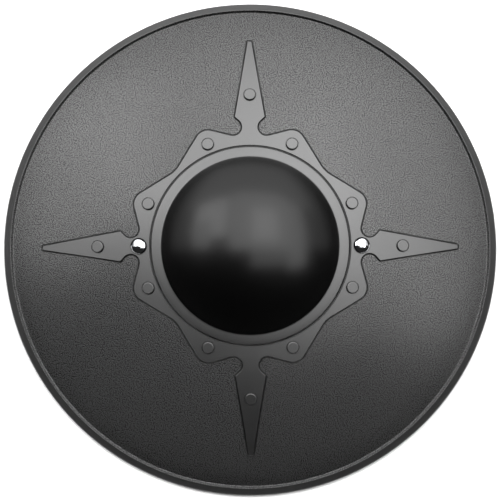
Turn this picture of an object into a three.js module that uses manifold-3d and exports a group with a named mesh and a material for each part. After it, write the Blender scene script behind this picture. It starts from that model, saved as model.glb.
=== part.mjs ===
// A round buckler moulded in black plastic, lying on its back with its face up.
// The dished disc, its rim, the low four-pointed star with its rivet heads, the ring and the domed boss are
// one moulding. A hand grip spans the hollow behind the boss, held by two round-head bolts and their nuts.
// Millimetres, +Z up out of the face, +Y to the top point of the star. The origin is on the floor, under
// the middle of the disc.
import * as THREE from "three";
import { mergeVertices } from "three/addons/utils/BufferGeometryUtils.js";
import Module from "manifold-3d";

// Driving dimensions of the dished disc
const OUTER_RADIUS = 181;
const WALL = 4.8;
const FACE_SPHERE = 455;
const FACE_TOP = 40.4;
const ROUND_SEGMENTS = 80;

// Raised rim: a steep inner wall, a narrow crest, and a sloping band that ends in the rounded edge
const RIM_INNER_RADIUS = 174;
const RIM_RISE = 1.4;
const RIM_CREST_RADIUS = 175.7;
const RIM_CREST_HALF_WIDTH = 0.8;
const RIM_CREST_ROUND = 0.3;
const RIM_BAND_SLOPE = THREE.MathUtils.degToRad(37);
const RIM_BAND_FOOT = 4.1;
const RIM_EDGE_ROUND = 1.3;
const RIM_UNDER_ROUND = 0.9;
const RIM_FOOT_RADIUS = 180;

// Domed boss and the flat ring round its foot
const BOSS_RADIUS = 65;
const BOSS_SPHERE = 101;
const BOSS_FILLET = 0.9;
const RING_RADIUS = 72.7;
const RING_RISE = 2.8;
const RING_EDGE_ROUND = 0.5;

// Star plate: each disc is a corner that the outline wraps, and a concave one bends the outline inwards
const PLATE_RISE = 1.1;
const STAR_REACH = 151.75;
const TIP_RADIUS = 1.1;
const TIP = { x: 0.84, y: STAR_REACH - TIP_RADIUS, radius: TIP_RADIUS };
const BARB = { x: 10.5, y: 94.2, radius: 0.75 };
const NOTCH = { x: 12.2, y: 86.4, radius: 6.2, concave: true };
const LOBE = { x: 30.35, y: 74.5, radius: 9.9 };
const VALLEY = { x: 67.74, y: 67.74, radius: 18.6, concave: true };
const ARC_STEP = THREE.MathUtils.degToRad(20);

// Moulded rivet heads, eight on the lobes and four on the points
const RIVET_RADIUS = 4.65;
const RIVET_HEIGHT = 1.4;
const RIVET_ROUND = 0.8;
const RIVET_ROOT = 1;
const RIVET_SEGMENTS = 12;
const LOBE_RIVET_REACH = 79.7;
const POINT_RIVET_REACH = 110.5;

// Round-head bolts, square to the dished face, with hexagon nuts behind the grip
const BOLT_REACH = 80.6;
const BOLT_HEAD_RADIUS = 5.95;
const BOLT_HEAD_HEIGHT = 3.3;
const BOLT_SHANK_RADIUS = 2.4;
const BOLT_HOLE_RADIUS = 2.75;
const BOLT_CHAMFER = 0.5;
const BOLT_END_BEYOND_NUT = 1.4;
const BOLT_SEGMENTS = 16;
const NUT_ACROSS_FLATS = 9.5;
const NUT_HEIGHT = 3.4;
const DRILL_LENGTH = 60;

// Hand grip: a rounded bar behind the boss, deepest over the hand, with a flat pad under each bolt
const GAP = 0.3;
const PAD_LENGTH = 32;
const PAD_WIDTH = 25;
const PAD_THICKNESS = 6;
const PAD_CORNER = 7;
const BAR_HALF_LENGTH = 72;
const BAR_HALF_STRAIGHT = 40;
const BAR_WIDTH = 30;
const BAR_SWELL = 0.06;
const BAR_TOP = 27.5;
const BAR_BOTTOM = 5.5;
const BAR_END_TOP = 28.6;
const BAR_END_BOTTOM = 24.4;
const BAR_ROUNDNESS = 0.8;

const wasm = await Module();
wasm.setup();

// Heights of the section's curves at a radius: face, back, outside of the boss, inside of the boss
const sphereDrop = FACE_SPHERE - FACE_TOP;
const faceHeight = (r) => Math.sqrt(FACE_SPHERE ** 2 - r ** 2) - sphereDrop;
const backHeight = (r) => Math.sqrt((FACE_SPHERE - WALL) ** 2 - r ** 2) - sphereDrop;
const bossFoot = faceHeight(BOSS_RADIUS) + RING_RISE;
const bossCentre = bossFoot - Math.sqrt(BOSS_SPHERE ** 2 - BOSS_RADIUS ** 2);
const bossHeight = (r) => Math.sqrt(BOSS_SPHERE ** 2 - r ** 2) + bossCentre;
const hollowHeight = (r) => Math.sqrt((BOSS_SPHERE - WALL) ** 2 - r ** 2) + bossCentre;

// Depths below the plate along a bolt. A pad is flat on a dished back, so it stands off by the curve's rise
// under its corners.
const boltTilt = Math.asin(BOLT_REACH / FACE_SPHERE);
const wallBack = WALL + PLATE_RISE * Math.cos(boltTilt);
const padRise = ((PAD_LENGTH / 2) ** 2 + (PAD_WIDTH / 2) ** 2) / (2 * (FACE_SPHERE - WALL));
const padTop = wallBack + padRise + GAP;
const nutTop = padTop + PAD_THICKNESS + GAP;
const boltEnd = nutTop + NUT_HEIGHT + BOLT_END_BEYOND_NUT;

// The radius where two falling curves of the section cross, found by halving
function crossing(curveA, curveB, low, high) {
  let [inner, outer] = [low, high];
  for (let i = 0; i < 40; i += 1) {
    const middle = (inner + outer) / 2;
    if (curveA(middle) > curveB(middle)) inner = middle;
    else outer = middle;
  }
  return inner;
}

// Points of a curve of the section, evenly spaced from one radius to another
function arcPoints(curve, from, to, steps) {
  return Array.from({ length: steps + 1 }, (_, i) => {
    const r = from + ((to - from) * i) / steps;
    return [r, curve(r)];
  });
}

// A solid of revolution about Z from its half section, a ring of [radius, height] points that runs outwards
// over the top and back along the underside
function turned(profile, segments) {
  const closed = [...profile, profile[0]].reverse();
  const points = closed.map(([r, z]) => new THREE.Vector2(r, z));
  return new THREE.LatheGeometry(points, segments).rotateX(Math.PI / 2);
}

// A closed geometry as a solid: shared corners are merged and the slivers at poles dropped
function solid(geometry) {
  const bare = geometry.clone();
  bare.deleteAttribute("normal");
  bare.deleteAttribute("uv");
  const merged = mergeVertices(bare, 1e-4);
  const index = merged.getIndex().array;
  const triangles = [];
  for (let i = 0; i < index.length; i += 3) {
    const [a, b, c] = index.slice(i, i + 3);
    if (a !== b && b !== c && c !== a) triangles.push(a, b, c);
  }
  const vertProperties = Float32Array.from(merged.getAttribute("position").array);
  const triVerts = Uint32Array.from(triangles);
  return new wasm.Manifold(new wasm.Mesh({ numProp: 3, vertProperties, triVerts }));
}

function geometryOf(manifold) {
  const { vertProperties, triVerts } = manifold.getMesh();
  const geometry = new THREE.BufferGeometry();
  geometry.setAttribute("position", new THREE.BufferAttribute(vertProperties, 3));
  geometry.setIndex(new THREE.BufferAttribute(triVerts, 1));
  geometry.computeVertexNormals();
  return geometry;
}

// The placement of a thing that sits square on the star plate, at a reach from the middle and a turn about it
function onPlate(reach, turn) {
  const lean = new THREE.Matrix4().makeRotationY(Math.asin(reach / FACE_SPHERE));
  const spot = new THREE.Matrix4().makeTranslation(reach, 0, faceHeight(reach) + PLATE_RISE);
  return new THREE.Matrix4().makeRotationZ(turn).multiply(spot).multiply(lean);
}

// The dished disc with its rim, ring and hollow boss, as one turned section
function discSection() {
  const crestTop = faceHeight(RIM_INNER_RADIUS) + RIM_RISE;
  const shoulderTop = crestTop - RIM_CREST_ROUND;
  const bandStart = RIM_CREST_RADIUS + RIM_CREST_HALF_WIDTH;
  const bandEnd = bandStart + (shoulderTop - RIM_BAND_FOOT) / Math.tan(RIM_BAND_SLOPE);
  const footInner = Math.sqrt((FACE_SPHERE - WALL) ** 2 - sphereDrop ** 2);
  const hollowRadius = crossing(hollowHeight, backHeight, BOSS_RADIUS - 10, BOSS_RADIUS + 10);
  const ringTop = (r) => faceHeight(r) + RING_RISE;
  return [
    ...arcPoints(bossHeight, 0, BOSS_RADIUS, 7),
    ...arcPoints(ringTop, BOSS_RADIUS + BOSS_FILLET, RING_RADIUS - RING_EDGE_ROUND, 1),
    [RING_RADIUS, ringTop(RING_RADIUS) - RING_EDGE_ROUND],
    ...arcPoints(faceHeight, RING_RADIUS, RIM_INNER_RADIUS, 6),
    [RIM_CREST_RADIUS - RIM_CREST_HALF_WIDTH, shoulderTop],
    [RIM_CREST_RADIUS, crestTop],
    [bandStart, shoulderTop],
    [bandEnd, RIM_BAND_FOOT],
    [OUTER_RADIUS, RIM_BAND_FOOT - RIM_EDGE_ROUND],
    [OUTER_RADIUS, RIM_UNDER_ROUND],
    [RIM_FOOT_RADIUS, 0],
    ...arcPoints(backHeight, footInner, hollowRadius, 4),
    ...arcPoints(hollowHeight, hollowRadius, 0, 5).slice(1),
  ];
}

// The outline that a belt takes round a loop of discs, clockwise, outside the convex ones and inside the
// concave ones: a straight run between each two discs, and an arc on each
function beltOutline(discs) {
  const signed = discs.map((d) => ({ ...d, radius: d.concave ? -d.radius : d.radius }));
  const normals = signed.map((a, i) => {
    const b = signed[(i + 1) % signed.length];
    const run = Math.hypot(b.x - a.x, b.y - a.y);
    return Math.atan2(b.y - a.y, b.x - a.x) + Math.acos((a.radius - b.radius) / run);
  });
  return signed.flatMap((disc, i) => {
    const arrive = normals[(i + signed.length - 1) % signed.length];
    const turn = THREE.MathUtils.euclideanModulo(normals[i] - arrive + Math.PI, 2 * Math.PI) - Math.PI;
    const steps = Math.max(1, Math.ceil(Math.abs(turn) / ARC_STEP));
    return Array.from({ length: steps + 1 }, (_, k) => {
      const angle = arrive + (turn * k) / steps;
      return new THREE.Vector2(disc.x + disc.radius * Math.cos(angle), disc.y + disc.radius * Math.sin(angle));
    });
  });
}

// The discs of one quarter run from the top point to the right point, which mirrors it, and turn four times
function starDiscs() {
  const half = [TIP, BARB, NOTCH, LOBE];
  const mirrored = half.map((d) => ({ ...d, x: d.y, y: d.x })).reverse();
  const quarter = [...half, VALLEY, ...mirrored];
  return [0, 1, 2, 3].flatMap((turns) => quarter.map((disc) => {
    const spot = new THREE.Vector2(disc.x, disc.y).rotateAround(new THREE.Vector2(), (-turns * Math.PI) / 2);
    return { ...disc, x: spot.x, y: spot.y };
  }));
}

// The star plate: its outline standing through the disc, cut to a thin layer that follows the face
function starPlate() {
  const shape = new THREE.Shape(beltOutline(starDiscs()));
  const prism = new THREE.ExtrudeGeometry(shape, { depth: FACE_TOP + PLATE_RISE, bevelEnabled: false });
  const inner = (BOSS_RADIUS + RING_RADIUS) / 2;
  const outer = STAR_REACH + WALL;
  const top = arcPoints((r) => faceHeight(r) + PLATE_RISE, inner, outer, 5);
  const bottom = arcPoints((r) => faceHeight(r) - WALL / 2, outer, inner, 5);
  return solid(prism).intersect(solid(turned([...top, ...bottom], ROUND_SEGMENTS)));
}

function rivetHeads() {
  const head = turned([
    [0, RIVET_HEIGHT],
    [RIVET_RADIUS - RIVET_ROUND, RIVET_HEIGHT * 0.9],
    [RIVET_RADIUS, RIVET_HEIGHT - RIVET_ROUND],
    [RIVET_RADIUS, -RIVET_ROOT],
    [0, -RIVET_ROOT],
  ], RIVET_SEGMENTS);
  const lobes = Array.from({ length: 8 }, (_, i) => [LOBE_RIVET_REACH, Math.PI / 8 + (i * Math.PI) / 4]);
  const points = Array.from({ length: 4 }, (_, i) => [POINT_RIVET_REACH, (i * Math.PI) / 2]);
  return [...lobes, ...points].map(([reach, turn]) => solid(head.clone().applyMatrix4(onPlate(reach, turn))));
}

function drill() {
  const rod = new THREE.CylinderGeometry(BOLT_HOLE_RADIUS, BOLT_HOLE_RADIUS, DRILL_LENGTH, BOLT_SEGMENTS);
  return rod.rotateX(Math.PI / 2);
}

const boltTurns = { left: Math.PI, right: 0 };
const boltPlaces = Object.values(boltTurns).map((turn) => onPlate(BOLT_REACH, turn));
const boltHoles = boltPlaces.map((place) => solid(drill().applyMatrix4(place)));

function shieldMoulding() {
  let body = solid(turned(discSection(), ROUND_SEGMENTS)).add(starPlate());
  for (const rivet of rivetHeads()) body = body.add(rivet);
  for (const hole of boltHoles) body = body.subtract(hole);
  return geometryOf(body);
}

function gripPad() {
  const outline = new THREE.Shape();
  const corners = [[1, 1], [-1, 1], [-1, -1], [1, -1]];
  corners.forEach(([sx, sy], i) => {
    const x = sx * (PAD_LENGTH / 2 - PAD_CORNER);
    const y = sy * (PAD_WIDTH / 2 - PAD_CORNER);
    outline.absarc(x, y, PAD_CORNER, (i * Math.PI) / 2, ((i + 1) * Math.PI) / 2);
  });
  const pad = new THREE.ExtrudeGeometry(outline, { depth: PAD_THICKNESS, bevelEnabled: false, curveSegments: 4 });
  return pad.translate(0, 0, -padTop - PAD_THICKNESS);
}

// The bar is a rod whose round section is reshaped along its length into a soft rectangle
function gripBar() {
  const bar = new THREE.CylinderGeometry(1, 1, 2 * BAR_HALF_LENGTH, 16, 12).rotateZ(Math.PI / 2);
  const position = bar.getAttribute("position");
  const soften = (value) => Math.sign(value) * Math.abs(value) ** BAR_ROUNDNESS;
  for (let i = 0; i < position.count; i += 1) {
    const x = position.getX(i);
    const taper = THREE.MathUtils.smoothstep(Math.abs(x), BAR_HALF_STRAIGHT, BAR_HALF_LENGTH);
    const swell = 1 + BAR_SWELL * Math.cos((Math.PI * x) / (2 * BAR_HALF_LENGTH));
    const halfWidth = THREE.MathUtils.lerp((BAR_WIDTH / 2) * swell, PAD_WIDTH / 2 - 1, taper);
    const top = THREE.MathUtils.lerp(BAR_TOP, BAR_END_TOP, taper);
    const bottom = THREE.MathUtils.lerp(BAR_BOTTOM, BAR_END_BOTTOM, taper);
    const height = (top + bottom) / 2 + (soften(position.getZ(i)) * (top - bottom)) / 2;
    position.setXYZ(i, x, soften(position.getY(i)) * halfWidth, height);
  }
  return bar;
}

function gripMoulding() {
  let grip = solid(gripBar());
  for (const place of boltPlaces) grip = grip.add(solid(gripPad().applyMatrix4(place)));
  for (const hole of boltHoles) grip = grip.subtract(hole);
  return geometryOf(grip);
}

function boltGeometry() {
  const headSphere = (BOLT_HEAD_RADIUS ** 2 + BOLT_HEAD_HEIGHT ** 2) / (2 * BOLT_HEAD_HEIGHT);
  const headCurve = (r) => GAP + BOLT_HEAD_HEIGHT - headSphere + Math.sqrt(headSphere ** 2 - r ** 2);
  return turned([
    ...arcPoints(headCurve, 0, BOLT_HEAD_RADIUS, 5),
    [BOLT_SHANK_RADIUS, GAP],
    [BOLT_SHANK_RADIUS, -boltEnd + BOLT_CHAMFER],
    [BOLT_SHANK_RADIUS - BOLT_CHAMFER, -boltEnd],
    [0, -boltEnd],
  ], BOLT_SEGMENTS);
}

function nutGeometry() {
  const cornerRadius = NUT_ACROSS_FLATS / Math.sqrt(3);
  const hexagon = new THREE.CylinderGeometry(cornerRadius, cornerRadius, NUT_HEIGHT, 6).rotateX(Math.PI / 2);
  return geometryOf(solid(hexagon.translate(0, 0, -nutTop - NUT_HEIGHT / 2)).subtract(solid(drill())));
}

const BLACK_PLASTIC = "#232325";
const GRIP_PLASTIC = "#1c1c1d";
const CHROME = "#c9ccd0";
const ZINC = "#8d9094";

function mesh(name, geometry, color, roughness, metalness) {
  const piece = new THREE.Mesh(geometry, new THREE.MeshStandardMaterial({ color, roughness, metalness }));
  piece.name = name;
  return piece;
}

const buckler = new THREE.Group();
buckler.add(mesh("shield", shieldMoulding(), BLACK_PLASTIC, 0.45, 0));
buckler.add(mesh("grip", gripMoulding(), GRIP_PLASTIC, 0.6, 0));
for (const [side, turn] of Object.entries(boltTurns)) {
  const bolt = mesh(`bolt_${side}`, boltGeometry(), CHROME, 0.12, 1);
  const nut = mesh(`nut_${side}`, nutGeometry(), ZINC, 0.35, 1);
  for (const piece of [bolt, nut]) {
    piece.applyMatrix4(onPlate(BOLT_REACH, turn));
    buckler.add(piece);
  }
}

export default buckler;
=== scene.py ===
import math

import bmesh
import bpy
from mathutils import Matrix, Vector


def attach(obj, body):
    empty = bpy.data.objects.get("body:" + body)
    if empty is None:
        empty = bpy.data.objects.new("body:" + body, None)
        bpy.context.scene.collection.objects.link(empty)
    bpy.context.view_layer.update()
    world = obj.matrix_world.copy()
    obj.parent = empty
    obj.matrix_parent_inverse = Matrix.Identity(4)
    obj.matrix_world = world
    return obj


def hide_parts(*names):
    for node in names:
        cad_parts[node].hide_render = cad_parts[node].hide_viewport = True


# A round buckler moulded in black plastic, lying on its back with its face up. Metres, +Z up out of the
# face, +Y to the top point of the star. The origin is on the floor, under the middle of the disc.
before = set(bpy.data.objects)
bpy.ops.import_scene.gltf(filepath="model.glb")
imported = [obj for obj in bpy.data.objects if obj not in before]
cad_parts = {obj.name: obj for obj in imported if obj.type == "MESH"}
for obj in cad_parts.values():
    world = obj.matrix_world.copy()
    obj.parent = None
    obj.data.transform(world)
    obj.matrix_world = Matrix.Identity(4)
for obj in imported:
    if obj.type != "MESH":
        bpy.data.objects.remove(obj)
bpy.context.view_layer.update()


# The shield is one injection moulding in black polypropylene: a shallow dish with a thick rolled rim, a
# domed boss for the fist with a flat ring round its foot, and a low four-pointed star with false rivets.
# The wall is the same thickness all over, so the back is hollow where the front stands up.
DISC_RADIUS = 0.181
WALL = 0.0048
FACE_SPHERE = 0.455
FACE_TOP = 0.0404
BOSS_RADIUS = 0.0642
BOSS_SPHERE = 0.101
RING_RADIUS = 0.0727
RING_RISE = 0.0028
RING_CROWN = 0.0004
RING_GROOVE = 0.0012
RIM_INNER_RADIUS = 0.174
HOLLOW_MOUTH_RADIUS = 0.0669
FOOT_INNER_RADIUS = 0.17546
SPIN_STEPS = 256
MERGE_DISTANCE = 0.000005


def face_height(radius):
    return math.sqrt(FACE_SPHERE**2 - radius**2) - (FACE_SPHERE - FACE_TOP)


def ring_height(radius):
    """The ring's top is slightly crowned, so it falls away towards its outer edge."""
    out = max(0, (radius - BOSS_RADIUS) / (RING_RADIUS - BOSS_RADIUS))
    return face_height(radius) + RING_RISE - RING_CROWN * out**2


def back_height(radius):
    return math.sqrt((FACE_SPHERE - WALL) ** 2 - radius**2) - (FACE_SPHERE - FACE_TOP)


BOSS_CENTRE = ring_height(BOSS_RADIUS) - math.sqrt(BOSS_SPHERE**2 - BOSS_RADIUS**2)


def boss_height(radius):
    return math.sqrt(BOSS_SPHERE**2 - radius**2) + BOSS_CENTRE


def hollow_height(radius):
    return math.sqrt((BOSS_SPHERE - WALL) ** 2 - radius**2) + BOSS_CENTRE


def along(curve, start, end, steps):
    radii = [start + (end - start) * i / steps for i in range(steps + 1)]
    return [(radius, curve(radius)) for radius in radii]


def begin_edit(piece):
    """Opens one piece in edit mode with nothing on it selected."""
    bpy.ops.object.select_all(action="DESELECT")
    piece.select_set(True)
    bpy.context.view_layer.objects.active = piece
    bpy.ops.object.mode_set(mode="EDIT")
    bpy.ops.mesh.select_all(action="DESELECT")


def end_edit():
    bpy.ops.object.mode_set(mode="OBJECT")


def named(name):
    """Gives the primitive just added its name and puts its place into its mesh."""
    piece = bpy.context.object
    piece.name = piece.data.name = name
    bpy.ops.object.transform_apply(location=True, rotation=True, scale=True)
    return piece


def draw_line(name, points):
    """A piece that is one line through the points, drawn by extruding one corner from point to point."""
    bpy.ops.object.select_all(action="DESELECT")
    bpy.ops.mesh.primitive_plane_add(size=0.001)
    piece = named(name)
    begin_edit(piece)
    bpy.ops.mesh.select_mode(type="VERT")
    bpy.ops.mesh.select_all(action="SELECT")
    bpy.ops.mesh.merge(type="CENTER")
    bpy.ops.transform.translate(value=points[0])
    for here, there in zip(points, points[1:]):
        step = Vector(there) - Vector(here)
        bpy.ops.mesh.extrude_vertices_move(TRANSFORM_OT_translate={"value": step})
    return piece


def select_near(piece, spot):
    """Selects the one corner of the drawn line that is closest to a spot."""
    bpy.ops.mesh.select_all(action="DESELECT")
    bpy.ops.mesh.select_mode(type="VERT")
    line = bmesh.from_edit_mesh(piece.data)
    min(line.verts, key=lambda corner: (corner.co - Vector(spot)).length).select_set(True)
    bmesh.update_edit_mesh(piece.data)


def spin_section(name, section, rounded, steps):
    """Turns a half section of (radius, height) points about Z, with some of its corners rounded off."""
    piece = draw_line(name, [(radius, 0, height) for radius, height in section])
    for radius, height, offset in rounded:
        select_near(piece, (radius, 0, height))
        bpy.ops.mesh.bevel(offset=offset, segments=5, affect="VERTICES")
    bpy.ops.mesh.select_all(action="SELECT")
    bpy.ops.mesh.spin(steps=steps, angle=2 * math.pi, center=(0, 0, 0), axis=(0, 0, 1))
    bpy.ops.mesh.select_all(action="SELECT")
    bpy.ops.mesh.remove_doubles(threshold=MERGE_DISTANCE)
    bpy.ops.mesh.normals_make_consistent(inside=False)
    end_edit()
    return piece


ring_outer_edge = (RING_RADIUS - 0.0008, ring_height(RING_RADIUS))
groove_inner = (RING_RADIUS - 0.0005, face_height(RING_RADIUS) - RING_GROOVE)
groove_outer = (RING_RADIUS + 0.0004, face_height(RING_RADIUS) - RING_GROOVE)
groove_edge = (RING_RADIUS + 0.0005, face_height(RING_RADIUS))
boss_foot = (BOSS_RADIUS + 0.0003, ring_height(BOSS_RADIUS))
rim_inner_foot = (RIM_INNER_RADIUS, face_height(RIM_INNER_RADIUS))
rim_crest = (0.1758, 0.0073)
rim_edge = (DISC_RADIUS, 0.0034)
rim_under = (DISC_RADIUS, 0)
foot_inner = (FOOT_INNER_RADIUS, 0)
hollow_mouth = (HOLLOW_MOUTH_RADIUS, back_height(HOLLOW_MOUTH_RADIUS))

shield_section = [
    *along(boss_height, 0, BOSS_RADIUS - 0.0008, 28),
    boss_foot,
    *along(ring_height, BOSS_RADIUS + 0.0014, RING_RADIUS - 0.0016, 3),
    ring_outer_edge,
    groove_inner,
    groove_outer,
    groove_edge,
    *along(face_height, RING_RADIUS + 0.001, RIM_INNER_RADIUS - 0.0008, 26),
    rim_inner_foot,
    rim_crest,
    rim_edge,
    rim_under,
    foot_inner,
    *along(back_height, FOOT_INNER_RADIUS - 0.0015, HOLLOW_MOUTH_RADIUS + 0.0025, 24),
    hollow_mouth,
    *along(hollow_height, HOLLOW_MOUTH_RADIUS - 0.0025, 0, 20),
]
shield_rounding = [
    (*boss_foot, 0.0006),
    (*ring_outer_edge, 0.0008),
    (*rim_inner_foot, 0.0004),
    (*rim_crest, 0.0003),
    (*rim_edge, 0.001),
    (*rim_under, 0.001),
    (*foot_inner, 0.0006),
    (*hollow_mouth, 0.002),
]
shield = spin_section("shield_moulding", shield_section, shield_rounding, SPIN_STEPS)

# Discs that the star's outline wraps like a belt, each (x, y, radius). A negative radius bends it
# inwards. They run over one eighth of the star and are mirrored, then turned four times.
STAR_REACH = 0.15175
STAR_TIP = (0.00084, STAR_REACH - 0.0011, 0.0011)
STAR_BARB = (0.0105, 0.0942, 0.00075)
STAR_NOTCH = (0.0122, 0.0864, -0.0062)
STAR_LOBE = (0.03035, 0.0745, 0.0099)
STAR_VALLEY = (0.06774, 0.06774, -0.0186)
PLATE_RISE = 0.0011
PLATE_ROOT = 0.002
PLATE_INNER_RADIUS = 0.07315
PLATE_GRID = 0.004
PLATE_DRAFT = 0.00035
PLATE_EDGE = [(0.0005, 0.00072), (0.00014, 0.00016), (0.00014, 0.00012), (0.00014, 0.0001), (0.00012, 0)]


def star_discs():
    eighth = [STAR_TIP, STAR_BARB, STAR_NOTCH, STAR_LOBE]
    quarter = [*eighth, STAR_VALLEY, *[(y, x, radius) for x, y, radius in reversed(eighth)]]
    discs = []
    for turns in range(4):
        for x, y, radius in quarter:
            for _ in range(turns):
                x, y = y, -x
            discs.append((x, y, radius))
    return discs


def belt(discs, grow):
    """The clockwise outline round the discs, moved out by grow: an arc on each disc, then a straight."""
    discs = [(x, y, radius + grow) for x, y, radius in discs]
    leaving = []
    for (ax, ay, ar), (bx, by, br) in zip(discs, discs[1:] + discs[:1]):
        run = math.hypot(bx - ax, by - ay)
        leaving.append(math.atan2(by - ay, bx - ax) + math.acos((ar - br) / run))
    outline = []
    for i, (x, y, radius) in enumerate(discs):
        arrive = leaving[i - 1]
        turn = (leaving[i] - arrive + math.pi) % (2 * math.pi) - math.pi
        steps = max(2, math.ceil(abs(turn) / math.radians(8)))
        for k in range(steps + 1):
            angle = arrive + turn * k / steps
            outline.append((x + radius * math.cos(angle), y + radius * math.sin(angle)))
    return outline


def select_faces(piece, chosen):
    """Selects the faces of the piece in edit mode whose centre and normal pass the test."""
    bpy.ops.mesh.select_all(action="DESELECT")
    bpy.ops.mesh.select_mode(type="FACE")
    shape = bmesh.from_edit_mesh(piece.data)
    for face in shape.faces:
        if chosen(face.calc_center_median(), face.normal):
            face.select_set(True)
    bmesh.update_edit_mesh(piece.data)


def boolean(piece, tool, operation):
    """Joins a second solid to a piece, or cuts it away, and removes the second."""
    bpy.ops.object.select_all(action="DESELECT")
    piece.select_set(True)
    bpy.context.view_layer.objects.active = piece
    bpy.ops.object.modifier_add(type="BOOLEAN")
    modifier = piece.modifiers[-1]
    modifier.operation = operation
    modifier.solver = "EXACT"
    modifier.object = tool
    bpy.ops.object.modifier_apply(modifier=modifier.name)
    bpy.data.objects.remove(tool)


def joined(pieces):
    bpy.ops.object.select_all(action="DESELECT")
    for piece in pieces:
        piece.select_set(True)
    bpy.context.view_layer.objects.active = pieces[0]
    bpy.ops.object.join()
    return pieces[0]


def copies_at(piece, places):
    """Puts a copy of the piece, each with its own mesh, at every place, and removes the first."""
    copies = []
    for place in places:
        copy = piece.copy()
        copy.data = piece.data.copy()
        copy.data.transform(place)
        bpy.context.collection.objects.link(copy)
        copies.append(copy)
    bpy.data.objects.remove(piece)
    return copies


def on_plate(reach, turn):
    """The place of a thing that sits square on the star plate, at a reach from the middle."""
    lean = Matrix.Rotation(math.asin(reach / FACE_SPHERE), 4, "Y")
    spot = Matrix.Translation((reach, 0, face_height(reach) + PLATE_RISE))
    return Matrix.Rotation(turn, 4, "Z") @ spot @ lean


def star_block(name, grow, bottom, top, edge, hole_radius):
    """A solid in the star's outline that follows the dished face, with a hole for the ring and boss."""
    outline = belt(star_discs(), grow)
    block = draw_line(name, [(x, y, bottom) for x, y in [*outline, outline[0]]])
    bpy.ops.mesh.select_all(action="SELECT")
    bpy.ops.mesh.remove_doubles(threshold=MERGE_DISTANCE)
    bpy.ops.mesh.edge_face_add()
    bpy.ops.mesh.extrude_region_move(TRANSFORM_OT_translate={"value": (0, 0, top - bottom)})
    bpy.ops.mesh.select_all(action="SELECT")
    bpy.ops.mesh.normals_make_consistent(inside=False)
    select_faces(block, lambda centre, normal: normal.z > 0.9)
    for inset, rise in edge:
        bpy.ops.mesh.inset(thickness=inset, depth=rise)
    for axis in (Vector((1, 0, 0)), Vector((0, 1, 0))):
        for i in range(-round(STAR_REACH / PLATE_GRID), round(STAR_REACH / PLATE_GRID) + 1):
            select_faces(block, lambda centre, normal: abs(normal.z) > 0.999)
            bpy.ops.mesh.bisect(plane_co=axis * (i * PLATE_GRID + 0.0001), plane_no=axis)
    end_edit()
    for corner in block.data.vertices:
        corner.co.z += face_height(math.hypot(corner.co.x, corner.co.y))
    bpy.ops.object.select_all(action="DESELECT")
    bpy.ops.mesh.primitive_cylinder_add(vertices=128, radius=hole_radius, depth=0.2)
    boolean(block, named("star_hole"), "DIFFERENCE")
    return block


# A fine sunk line round the star gives it its dark outline. Its width and depth are guesses.
LINE_WIDTH = 0.00045
LINE_DEPTH = 0.0006
BED_TOP = 0.003
BED_INNER_RADIUS = PLATE_INNER_RADIUS - 0.0002
bed = star_block("star_bed", PLATE_DRAFT + LINE_WIDTH, -LINE_DEPTH, BED_TOP, [], BED_INNER_RADIUS)
boolean(shield, bed, "DIFFERENCE")
plate = star_block("star_plate", PLATE_DRAFT, -PLATE_ROOT, 0, PLATE_EDGE, PLATE_INNER_RADIUS)

# The false rivets: eight on the lobes and four on the points, flat heads with a rounded edge. Each is in
# a shallow round recess, a guess, which draws the dark ring about it.
RIVET_RADIUS = 0.0045
RIVET_HEIGHT = 0.0017
RIVET_ROOT = 0.001
RIVET_EDGE = 0.0007
RIVET_TAPER = 0.96
RIVET_RECESS_RADIUS = 0.00495
RIVET_RECESS_DEPTH = 0.0006
LOBE_RIVET_REACH = 0.0797
POINT_RIVET_REACH = 0.1105
rivet_places = [on_plate(LOBE_RIVET_REACH, math.radians(22.5 + 45 * i)) for i in range(8)]
rivet_places += [on_plate(POINT_RIVET_REACH, math.radians(90 * i)) for i in range(4)]

bpy.ops.object.select_all(action="DESELECT")
bpy.ops.mesh.primitive_cylinder_add(
    vertices=40, radius=RIVET_RECESS_RADIUS, depth=0.004, location=(0, 0, 0.002 - RIVET_RECESS_DEPTH)
)
boolean(plate, joined(copies_at(named("rivet_recess"), rivet_places)), "DIFFERENCE")

bpy.ops.object.select_all(action="DESELECT")
bpy.ops.mesh.primitive_cylinder_add(
    vertices=40,
    radius=RIVET_RADIUS,
    depth=RIVET_HEIGHT + RIVET_ROOT,
    location=(0, 0, (RIVET_HEIGHT - RIVET_ROOT) / 2),
)
rivet = named("rivet")
begin_edit(rivet)
select_faces(rivet, lambda centre, normal: normal.z > 0.9)
bpy.ops.transform.resize(value=(RIVET_TAPER, RIVET_TAPER, 1))
bpy.ops.mesh.bevel(offset=RIVET_EDGE, segments=5, affect="EDGES")
end_edit()
boolean(plate, joined(copies_at(rivet, rivet_places)), "UNION")
boolean(shield, plate, "UNION")

# Two plain holes take the bolts of the grip, on either side of the boss.
BOLT_REACH = 0.0806
BOLT_HOLE_RADIUS = 0.00275
bolt_places = {"left": on_plate(BOLT_REACH, math.pi), "right": on_plate(BOLT_REACH, 0)}


def bolt_drill():
    bpy.ops.object.select_all(action="DESELECT")
    bpy.ops.mesh.primitive_cylinder_add(vertices=40, radius=BOLT_HOLE_RADIUS, depth=0.06)
    return joined(copies_at(named("bolt_drill"), bolt_places.values()))


boolean(shield, bolt_drill(), "DIFFERENCE")


def new_socket(group, name, way, kind, default=None):
    socket = group.interface.new_socket(name, in_out=way, socket_type=kind)
    if default is not None:
        socket.default_value = default


def add_node(tree, kind, **settings):
    node = tree.nodes.new(kind)
    for name, value in settings.items():
        setattr(node, name, value)
    return node


def fill(node, **values):
    for name, value in values.items():
        node.inputs[name.replace("_", " ")].default_value = value
    return node


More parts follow.
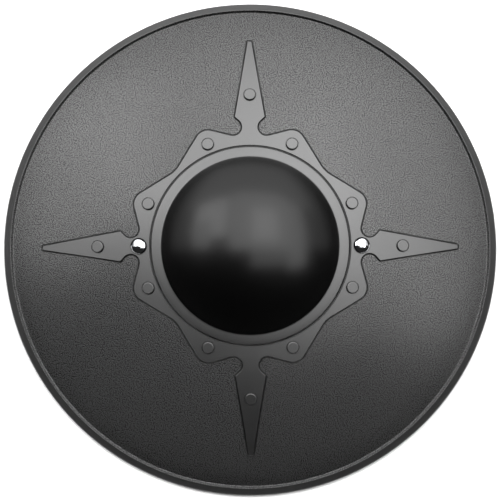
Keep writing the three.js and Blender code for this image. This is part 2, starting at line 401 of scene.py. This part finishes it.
def moulded_unevenness():
    """Slow cloudy change of a moulded surface's polish and shade, with faint rub marks from handling."""
    group = bpy.data.node_groups.new("moulded_unevenness", "ShaderNodeTree")
    new_socket(group, "Color", "INPUT", "NodeSocketColor", (0.01, 0.01, 0.01, 1))
    new_socket(group, "Roughness", "INPUT", "NodeSocketFloat", 0.4)
    new_socket(group, "Change", "INPUT", "NodeSocketFloat", 0.06)
    new_socket(group, "Color", "OUTPUT", "NodeSocketColor")
    new_socket(group, "Roughness", "OUTPUT", "NodeSocketFloat")
    entry = add_node(group, "NodeGroupInput")
    leave = add_node(group, "NodeGroupOutput")
    place = add_node(group, "ShaderNodeTexCoord")
    clouds = fill(add_node(group, "ShaderNodeTexNoise"), Scale=22.0, Detail=3.0)
    rubs = fill(add_node(group, "ShaderNodeTexNoise"), Scale=260.0, Detail=4.0, Roughness=0.7)
    together = add_node(group, "ShaderNodeMath", operation="ADD")
    centred = add_node(group, "ShaderNodeMath", operation="SUBTRACT")
    centred.inputs[1].default_value = 1.0
    polish = add_node(group, "ShaderNodeMath", operation="MULTIPLY_ADD")
    shade = add_node(group, "ShaderNodeMath", operation="MULTIPLY_ADD")
    shade.inputs[1].default_value = 1.2
    shade.inputs[2].default_value = 1.0
    tint = add_node(group, "ShaderNodeVectorMath", operation="SCALE")
    link = group.links.new
    link(place.outputs["Object"], clouds.inputs["Vector"])
    link(place.outputs["Object"], rubs.inputs["Vector"])
    link(clouds.outputs[0], together.inputs[0])
    link(rubs.outputs[0], together.inputs[1])
    link(together.outputs[0], centred.inputs[0])
    link(centred.outputs[0], polish.inputs[0])
    link(entry.outputs["Change"], polish.inputs[1])
    link(entry.outputs["Roughness"], polish.inputs[2])
    link(polish.outputs[0], leave.inputs["Roughness"])
    link(centred.outputs[0], shade.inputs[0])
    link(entry.outputs["Color"], tint.inputs[0])
    link(shade.outputs[0], tint.inputs["Scale"])
    link(tint.outputs[0], leave.inputs["Color"])
    return group


def pebble_grain():
    """A moulded leather grain of small rounded pebbles: its height, and a mask of the pebbles' tops."""
    group = bpy.data.node_groups.new("pebble_grain", "ShaderNodeTree")
    new_socket(group, "Pebbles per Metre", "INPUT", "NodeSocketFloat", 700.0)
    new_socket(group, "Height", "OUTPUT", "NodeSocketFloat")
    new_socket(group, "Tops", "OUTPUT", "NodeSocketFloat")
    entry = add_node(group, "NodeGroupInput")
    leave = add_node(group, "NodeGroupOutput")
    place = add_node(group, "ShaderNodeTexCoord")
    bend = fill(add_node(group, "ShaderNodeTexNoise"), Scale=900.0, Detail=1.0)
    bent = add_node(group, "ShaderNodeVectorMath", operation="MULTIPLY_ADD")
    bent.inputs[1].default_value = (0.0006, 0.0006, 0.0006)
    cells = add_node(group, "ShaderNodeTexVoronoi", feature="F1", voronoi_dimensions="2D")
    fill(cells, Randomness=0.9)
    pebbles = add_node(group, "ShaderNodeMapRange", interpolation_type="SMOOTHSTEP")
    for socket, value in zip(pebbles.inputs[1:5], (0.1, 0.7, 1.0, 0.0)):
        socket.default_value = value
    tops = add_node(group, "ShaderNodeMapRange", interpolation_type="SMOOTHSTEP")
    for socket, value in zip(tops.inputs[1:5], (0.2, 0.55, 1.0, 0.0)):
        socket.default_value = value
    link = group.links.new
    link(place.outputs["Object"], bend.inputs["Vector"])
    link(bend.outputs["Color"], bent.inputs[0])
    link(place.outputs["Object"], bent.inputs[2])
    link(bent.outputs[0], cells.inputs["Vector"])
    link(entry.outputs[0], cells.inputs["Scale"])
    link(cells.outputs["Distance"], pebbles.inputs["Value"])
    link(cells.outputs["Distance"], tops.inputs["Value"])
    link(pebbles.outputs[0], leave.inputs["Height"])
    link(tops.outputs[0], leave.inputs["Tops"])
    return group


def fine_grain():
    """The faint matt texture that a spark-eroded mould leaves: its height."""
    group = bpy.data.node_groups.new("fine_grain", "ShaderNodeTree")
    new_socket(group, "Grains per Metre", "INPUT", "NodeSocketFloat", 700.0)
    new_socket(group, "Height", "OUTPUT", "NodeSocketFloat")
    entry = add_node(group, "NodeGroupInput")
    leave = add_node(group, "NodeGroupOutput")
    place = add_node(group, "ShaderNodeTexCoord")
    grains = fill(add_node(group, "ShaderNodeTexNoise"), Detail=1.0)
    group.links.new(place.outputs["Object"], grains.inputs["Vector"])
    group.links.new(entry.outputs[0], grains.inputs["Scale"])
    group.links.new(grains.outputs[0], leave.inputs["Height"])
    return group


UNEVENNESS = moulded_unevenness()
PEBBLES = pebble_grain()
FINE = fine_grain()


def moulded_plastic(name, color, roughness, ior, change, texture=None, depth=0.0, per_metre=0.0):
    """A black moulded plastic: its shade and polish vary slowly, and it may carry a moulded texture."""
    material = bpy.data.materials.new(name)
    material.use_nodes = True
    tree = material.node_tree
    shader = tree.nodes["Principled BSDF"]
    shader.inputs["IOR"].default_value = ior
    uneven = add_node(tree, "ShaderNodeGroup", node_tree=UNEVENNESS)
    fill(uneven, Color=(*color, 1), Roughness=roughness, Change=change)
    tree.links.new(uneven.outputs["Color"], shader.inputs["Base Color"])
    tree.links.new(uneven.outputs["Roughness"], shader.inputs["Roughness"])
    if texture:
        grain = add_node(tree, "ShaderNodeGroup", node_tree=texture, name="grain")
        grain.inputs[0].default_value = per_metre
        bump = fill(add_node(tree, "ShaderNodeBump"), Strength=1.0, Distance=depth)
        tree.links.new(grain.outputs["Height"], bump.inputs["Height"])
        tree.links.new(bump.outputs["Normal"], shader.inputs["Normal"])
    return material


# A coat on the pebbles' tops alone gives the grain its contrast. The IOR of each finish is set for its
# look under these lights, and isn't the plastic's own.
BLACK = (0.001, 0.001, 0.001)
DEEP_BLACK = (0.0004, 0.0004, 0.0004)
field_plastic = moulded_plastic("black_pebbled_field", BLACK, 0.31, 1.44, 0.08, PEBBLES, 0.0002, 1250.0)
field_shader = fill(field_plastic.node_tree.nodes["Principled BSDF"], Coat_Roughness=0.28, Coat_IOR=1.72)
field_grain = field_plastic.node_tree.nodes["grain"]
field_plastic.node_tree.links.new(field_grain.outputs["Tops"], field_shader.inputs["Coat Weight"])
satin_plastic = moulded_plastic("black_satin", BLACK, 0.36, 1.8, 0.06, FINE, 0.000004, 1800.0)
boss_plastic = moulded_plastic("black_boss_polish", DEEP_BLACK, 0.25, 1.38, 0.04)
back_plastic = moulded_plastic("black_back", BLACK, 0.45, 1.5, 0.1, FINE, 0.00001, 1200.0)
for plastic in (field_plastic, satin_plastic, boss_plastic, back_plastic):
    shield.data.materials.append(plastic)
FIELD, SATIN, POLISH, BACK = range(4)


def shield_finish(centre):
    """Which finish a face of the shield has, from how far out it is and how high over the dish."""
    radius = math.hypot(centre.x, centre.y)
    rise = centre.z - face_height(radius)
    if radius < BOSS_RADIUS + 0.0001:
        return POLISH if centre.z > boss_height(radius) - 0.001 else BACK
    if radius < RIM_INNER_RADIUS + 0.0001 and rise < -0.0002:
        return BACK
    if RIM_INNER_RADIUS - 0.0005 < radius < rim_crest[0] and centre.z > 0.004:
        return FIELD
    if RING_RADIUS < radius < RIM_INNER_RADIUS and rise < 0.0001:
        return FIELD
    return SATIN if centre.z > 0.003 else BACK


for face in shield.data.polygons:
    face.material_index = shield_finish(face.center)


def smooth(piece, angle):
    """Smooths the piece's faces up to an angle, and lets its broad faces lead the shading."""
    bpy.ops.object.select_all(action="DESELECT")
    piece.select_set(True)
    bpy.context.view_layer.objects.active = piece
    bpy.ops.object.shade_smooth_by_angle(angle=math.radians(angle))
    bpy.ops.object.modifier_add(type="WEIGHTED_NORMAL")
    modifier = piece.modifiers[-1]
    modifier.keep_sharp = True
    bpy.ops.object.modifier_apply(modifier=modifier.name)


smooth(shield, 40)
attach(shield, "root")
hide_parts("shield")


# The grip is a second moulding in black plastic: a thick rounded bar across the hollow of the boss, with
# a flat pad at each end that the bolts go through. It is softly blended, and has a fine matt grain.
BAR_HALF_LENGTH = 0.072
BAR_HALF_STRAIGHT = 0.04
BAR_WIDTH = 0.030
BAR_SWELL = 0.06
PAD_LENGTH = 0.032
PAD_WIDTH = 0.025
PAD_THICKNESS = 0.006
PAD_DEPTH = 0.0066405
PAD_CORNER = 0.007
BLEND_VOXEL = 0.0008


def bar_station(x):
    """Half width, top and bottom of the bar at a place along it."""
    t = min(1, max(0, (abs(x) - BAR_HALF_STRAIGHT) / (BAR_HALF_LENGTH - BAR_HALF_STRAIGHT)))
    t = t * t * (3 - 2 * t)
    swell = 1 + BAR_SWELL * math.cos(math.pi * x / (2 * BAR_HALF_LENGTH))
    half_width = (1 - t) * BAR_WIDTH / 2 * swell + t * (PAD_WIDTH / 2 - 0.001)
    return half_width, (1 - t) * 0.0275 + t * 0.0286, (1 - t) * 0.0055 + t * 0.0244


bpy.ops.object.select_all(action="DESELECT")
bpy.ops.mesh.primitive_circle_add(
    vertices=48,
    radius=1,
    fill_type="NGON",
    rotation=(0, math.pi / 2, 0),
    location=(-BAR_HALF_LENGTH, 0, 0),
)
grip = named("grip_moulding")
for corner in grip.data.vertices:
    for i in (1, 2):
        corner.co[i] = math.copysign(abs(corner.co[i]) ** 0.8, corner.co[i])
begin_edit(grip)
bpy.ops.mesh.select_all(action="SELECT")
stations = [-BAR_HALF_LENGTH + 2 * BAR_HALF_LENGTH * i / 36 for i in range(37)]
width, height = 1.0, 1.0
middle = 0.0
for i, x in enumerate(stations):
    half_width, top, bottom = bar_station(x)
    new_middle, new_height = (top + bottom) / 2, (top - bottom) / 2
    if i:
        step = (x - stations[i - 1], 0, 0)
        bpy.ops.mesh.extrude_region_move(TRANSFORM_OT_translate={"value": step})
    bpy.ops.transform.resize(
        value=(1, half_width / width, new_height / height), center_override=(x, 0, middle)
    )
    bpy.ops.transform.translate(value=(0, 0, new_middle - middle))
    width, height, middle = half_width, new_height, new_middle
bpy.ops.mesh.select_all(action="SELECT")
bpy.ops.mesh.normals_make_consistent(inside=False)
end_edit()

bpy.ops.object.select_all(action="DESELECT")
bpy.ops.mesh.primitive_cube_add(
    size=1,
    scale=(PAD_LENGTH, PAD_WIDTH, PAD_THICKNESS),
    location=(0, 0, -PAD_DEPTH - PAD_THICKNESS / 2),
)
pad = named("grip_pad")
begin_edit(pad)
bpy.ops.mesh.select_mode(type="EDGE")
shape = bmesh.from_edit_mesh(pad.data)
for edge in shape.edges:
    edge.select_set(abs(edge.verts[0].co.z - edge.verts[1].co.z) > PAD_THICKNESS / 2)
bmesh.update_edit_mesh(pad.data)
bpy.ops.mesh.bevel(offset=PAD_CORNER, segments=8, affect="EDGES")
end_edit()
for pad_copy in copies_at(pad, bolt_places.values()):
    boolean(grip, pad_copy, "UNION")

bpy.ops.object.select_all(action="DESELECT")
grip.select_set(True)
bpy.context.view_layer.objects.active = grip
grip.data.remesh_voxel_size = BLEND_VOXEL
bpy.ops.object.voxel_remesh()
bpy.ops.object.modifier_add(type="SMOOTH")
grip.modifiers[-1].factor = 0.5
grip.modifiers[-1].iterations = 5
bpy.ops.object.modifier_apply(modifier=grip.modifiers[-1].name)
boolean(grip, bolt_drill(), "DIFFERENCE")
grip.data.materials.append(
    moulded_plastic("black_grip_grain", (0.012, 0.012, 0.0125), 0.55, 1.5, 0.1, FINE, 0.00002, 1400.0)
)
smooth(grip, 50)
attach(grip, "root")
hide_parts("grip")


# Two round-head bolts, chrome plated, hold the grip. Each goes through the star, the wall and the grip's
# pad, square to the dished face. The head is a low polished dome, and the end of the shank is threaded.
# The dark ring round the head's edge isn't real: it is a painted reflection of the black plastic round
# it.
HEAD_RADIUS = 0.00595
HEAD_WALL = 0.0011
HEAD_DOME = 0.0021
HEAD_EDGE = 0.0009
HEAD_GAP = 0.0003
PAINTED_REFLECTION_WIDTH = 0.0009
PAINTED_REFLECTION_SHIFT = 0.0005
HEAD_SPHERE = (HEAD_RADIUS**2 + HEAD_DOME**2) / (2 * HEAD_DOME)
SHANK_RADIUS = 0.0024
SHANK_END = 0.0177405
THREAD_PITCH = 0.00106
THREAD_DEPTH = 0.0003
THREAD_TURNS = 7


def head_height(radius):
    return HEAD_GAP + HEAD_WALL + HEAD_DOME - HEAD_SPHERE + math.sqrt(HEAD_SPHERE**2 - radius**2)


thread_top = -SHANK_END + 0.0005 + THREAD_TURNS * THREAD_PITCH
thread = []
for i in range(THREAD_TURNS):
    thread.append((SHANK_RADIUS, thread_top - i * THREAD_PITCH))
    thread.append((SHANK_RADIUS - THREAD_DEPTH, thread_top - (i + 0.5) * THREAD_PITCH))
bolt_section = [
    *along(head_height, 0, HEAD_RADIUS - 0.0013, 14),
    (HEAD_RADIUS, HEAD_GAP + HEAD_WALL),
    (HEAD_RADIUS, HEAD_GAP),
    (SHANK_RADIUS, HEAD_GAP),
    *thread,
    (SHANK_RADIUS, -SHANK_END + 0.0005),
    (SHANK_RADIUS - 0.0005, -SHANK_END),
    (0, -SHANK_END),
]
head_rounding = [(HEAD_RADIUS, HEAD_GAP + HEAD_WALL, HEAD_EDGE), (HEAD_RADIUS, HEAD_GAP, 0.0001)]
bolt = spin_section("bolt", bolt_section, head_rounding, 64)


def plated_metal(name, color, roughness, change, marks):
    """A plated steel: bright, with a slow change of its polish and fine marks from handling."""
    material = bpy.data.materials.new(name)
    material.use_nodes = True
    tree = material.node_tree
    shader = tree.nodes["Principled BSDF"]
    shader.inputs["Metallic"].default_value = 1.0
    uneven = add_node(tree, "ShaderNodeGroup", node_tree=UNEVENNESS)
    fill(uneven, Color=(*color, 1), Roughness=roughness, Change=change)
    place = add_node(tree, "ShaderNodeTexCoord")
    scratches = fill(add_node(tree, "ShaderNodeTexNoise"), Scale=1500.0, Detail=2.0)
    bump = fill(add_node(tree, "ShaderNodeBump"), Strength=1.0, Distance=marks)
    tree.links.new(uneven.outputs["Color"], shader.inputs["Base Color"])
    tree.links.new(uneven.outputs["Roughness"], shader.inputs["Roughness"])
    tree.links.new(place.outputs["Object"], scratches.inputs["Vector"])
    tree.links.new(scratches.outputs[0], bump.inputs["Height"])
    tree.links.new(bump.outputs["Normal"], shader.inputs["Normal"])
    return material


bolt.data.materials.append(plated_metal("bolt_chrome_plate", (0.62, 0.63, 0.65), 0.1, 0.04, 0.000004))
# A near-black plated finish that paints a dark reflection of the plastic round each head's edge.
bolt.data.materials.append(plated_metal("bolt_painted_reflection", (0.015, 0.016, 0.016), 0.3, 0.1, 0.000004))
smooth(bolt, 30)
for side, copy in zip(bolt_places, copies_at(bolt, bolt_places.values())):
    copy.name = copy.data.name = f"bolt_{side}_chromed"
    # Faces near the head's edge get the painted reflection. Its centre is set off, so the ring is widest
    # towards +Y.
    head_middle = bolt_places[side] @ Vector((0, 0, HEAD_GAP + HEAD_WALL))
    for face in copy.data.polygons:
        across = face.center - head_middle
        if math.hypot(across.x, across.y + PAINTED_REFLECTION_SHIFT) > HEAD_RADIUS - PAINTED_REFLECTION_WIDTH:
            face.material_index = 1
    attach(copy, "root")
    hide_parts(f"bolt_{side}")


# A zinc-plated hexagon nut draws each bolt up behind the grip's pad. Its corners are chamfered on both
# faces and its bore is countersunk.
NUT_ACROSS_FLATS = 0.0095
NUT_HEIGHT = 0.0034
NUT_TOP = 0.0129405
NUT_CORNER_RADIUS = NUT_ACROSS_FLATS / math.sqrt(3)

bpy.ops.object.select_all(action="DESELECT")
bpy.ops.mesh.primitive_cylinder_add(vertices=6, radius=NUT_CORNER_RADIUS, depth=NUT_HEIGHT)
nut = named("nut")
chamfer_radius = NUT_ACROSS_FLATS / 2 - 0.0001
chamfer_drop = (NUT_CORNER_RADIUS + 0.0002 - chamfer_radius) * math.tan(math.radians(30))
nut_turning = [
    (0, NUT_HEIGHT / 2 + 0.0001),
    (chamfer_radius, NUT_HEIGHT / 2 + 0.0001),
    (NUT_CORNER_RADIUS + 0.0002, NUT_HEIGHT / 2 - chamfer_drop),
    (NUT_CORNER_RADIUS + 0.0002, -NUT_HEIGHT / 2 + chamfer_drop),
    (chamfer_radius, -NUT_HEIGHT / 2 - 0.0001),
    (0, -NUT_HEIGHT / 2 - 0.0001),
]
boolean(nut, spin_section("nut_chamfer", nut_turning, [], 96), "INTERSECT")
bore = [
    (0, NUT_HEIGHT / 2 + 0.0002),
    (BOLT_HOLE_RADIUS + 0.0005, NUT_HEIGHT / 2 + 0.0002),
    (BOLT_HOLE_RADIUS, NUT_HEIGHT / 2 - 0.0003),
    (BOLT_HOLE_RADIUS, -NUT_HEIGHT / 2 + 0.0003),
    (BOLT_HOLE_RADIUS + 0.0005, -NUT_HEIGHT / 2 - 0.0002),
    (0, -NUT_HEIGHT / 2 - 0.0002),
]
boolean(nut, spin_section("nut_bore", bore, [], 48), "DIFFERENCE")
nut.data.transform(Matrix.Translation((0, 0, -NUT_TOP - NUT_HEIGHT / 2)))
nut.data.materials.append(plated_metal("nut_zinc_plate", (0.45, 0.46, 0.48), 0.34, 0.1, 0.00001))
smooth(nut, 30)
for side, copy in zip(bolt_places, copies_at(nut, bolt_places.values())):
    copy.name = copy.data.name = f"nut_{side}_zinc"
    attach(copy, "root")
    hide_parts(f"nut_{side}")


# The studio: a plain white table top under soft boxes hung level over it. The brightest is above and a
# little beyond the shield, a second is high on the left, and broad fainter ones fill in round them.
# Their levels were fitted together to the shading of the face.
bpy.ops.object.select_all(action="DESELECT")
bpy.ops.mesh.primitive_plane_add(size=16)
floor = named("floor")
paper = bpy.data.materials.new("white_table_top")
paper.use_nodes = True
paper.node_tree.nodes["Principled BSDF"].inputs["Base Color"].default_value = (0.86, 0.86, 0.86, 1)
paper.node_tree.nodes["Principled BSDF"].inputs["Roughness"].default_value = 0.9
floor.data.materials.append(paper)

LIGHT_HEIGHT = 2.4


def soft_box(name, left, right, near, far, radiance):
    """A soft box level above the table that covers these tilts from the shield's axis, in degrees."""
    x = [LIGHT_HEIGHT * math.tan(math.radians(tilt)) for tilt in (left, right)]
    y = [LIGHT_HEIGHT * math.tan(math.radians(tilt)) for tilt in (near, far)]
    lamp = bpy.data.lights.new(name, "AREA")
    lamp.shape = "RECTANGLE"
    lamp.size, lamp.size_y = x[1] - x[0], y[1] - y[0]
    lamp.energy = radiance * math.pi * lamp.size * lamp.size_y
    box = bpy.data.objects.new(name, lamp)
    box.location = (sum(x) / 2, sum(y) / 2, LIGHT_HEIGHT)
    box.visible_camera = False
    bpy.context.collection.objects.link(box)


soft_box("key_core", 2, 24, 6, 34, 6.2)
soft_box("key_surround", -18, 36, -2, 48, 4.2)
soft_box("key_far", -14, 14, 34, 48, 2.6)
soft_box("left_core", -48, -34, 0, 28, 4.0)
soft_box("left_surround", -50, -20, 10, 45, 5.7)
soft_box("top_light", -60, 60, 45, 76, 2.2)
soft_box("right_strip", 33, 48, -20, 45, 3.8)
soft_box("near_light", 0, 45, -16, 0, 2.3)
soft_box("broad_fill", -70, 70, 0, 80, 1.0)

world = bpy.data.worlds.new("studio")
world.use_nodes = True
world.node_tree.nodes["Background"].inputs["Color"].default_value = (0.02, 0.02, 0.02, 1)
bpy.context.scene.world = world
bpy.context.scene.view_settings.view_transform = "Standard"

# The camera stands well back over the shield, a little below its middle, with a long lens.
CAMERA_DISTANCE = 1.856
CAMERA_TILT = math.radians(3.6)
lens = bpy.data.cameras.new("camera")
lens.lens = 181.5
lens.sensor_width = 36
lens.shift_x = -0.0004
lens.shift_y = -0.0027
camera = bpy.data.objects.new("camera", lens)
turn = Matrix.Rotation(math.radians(-0.2), 4, "Z") @ Matrix.Rotation(CAMERA_TILT, 4, "X")
camera.matrix_world = turn @ Matrix.Translation((0, 0, CAMERA_DISTANCE))
bpy.context.collection.objects.link(camera)
bpy.context.scene.camera = camera
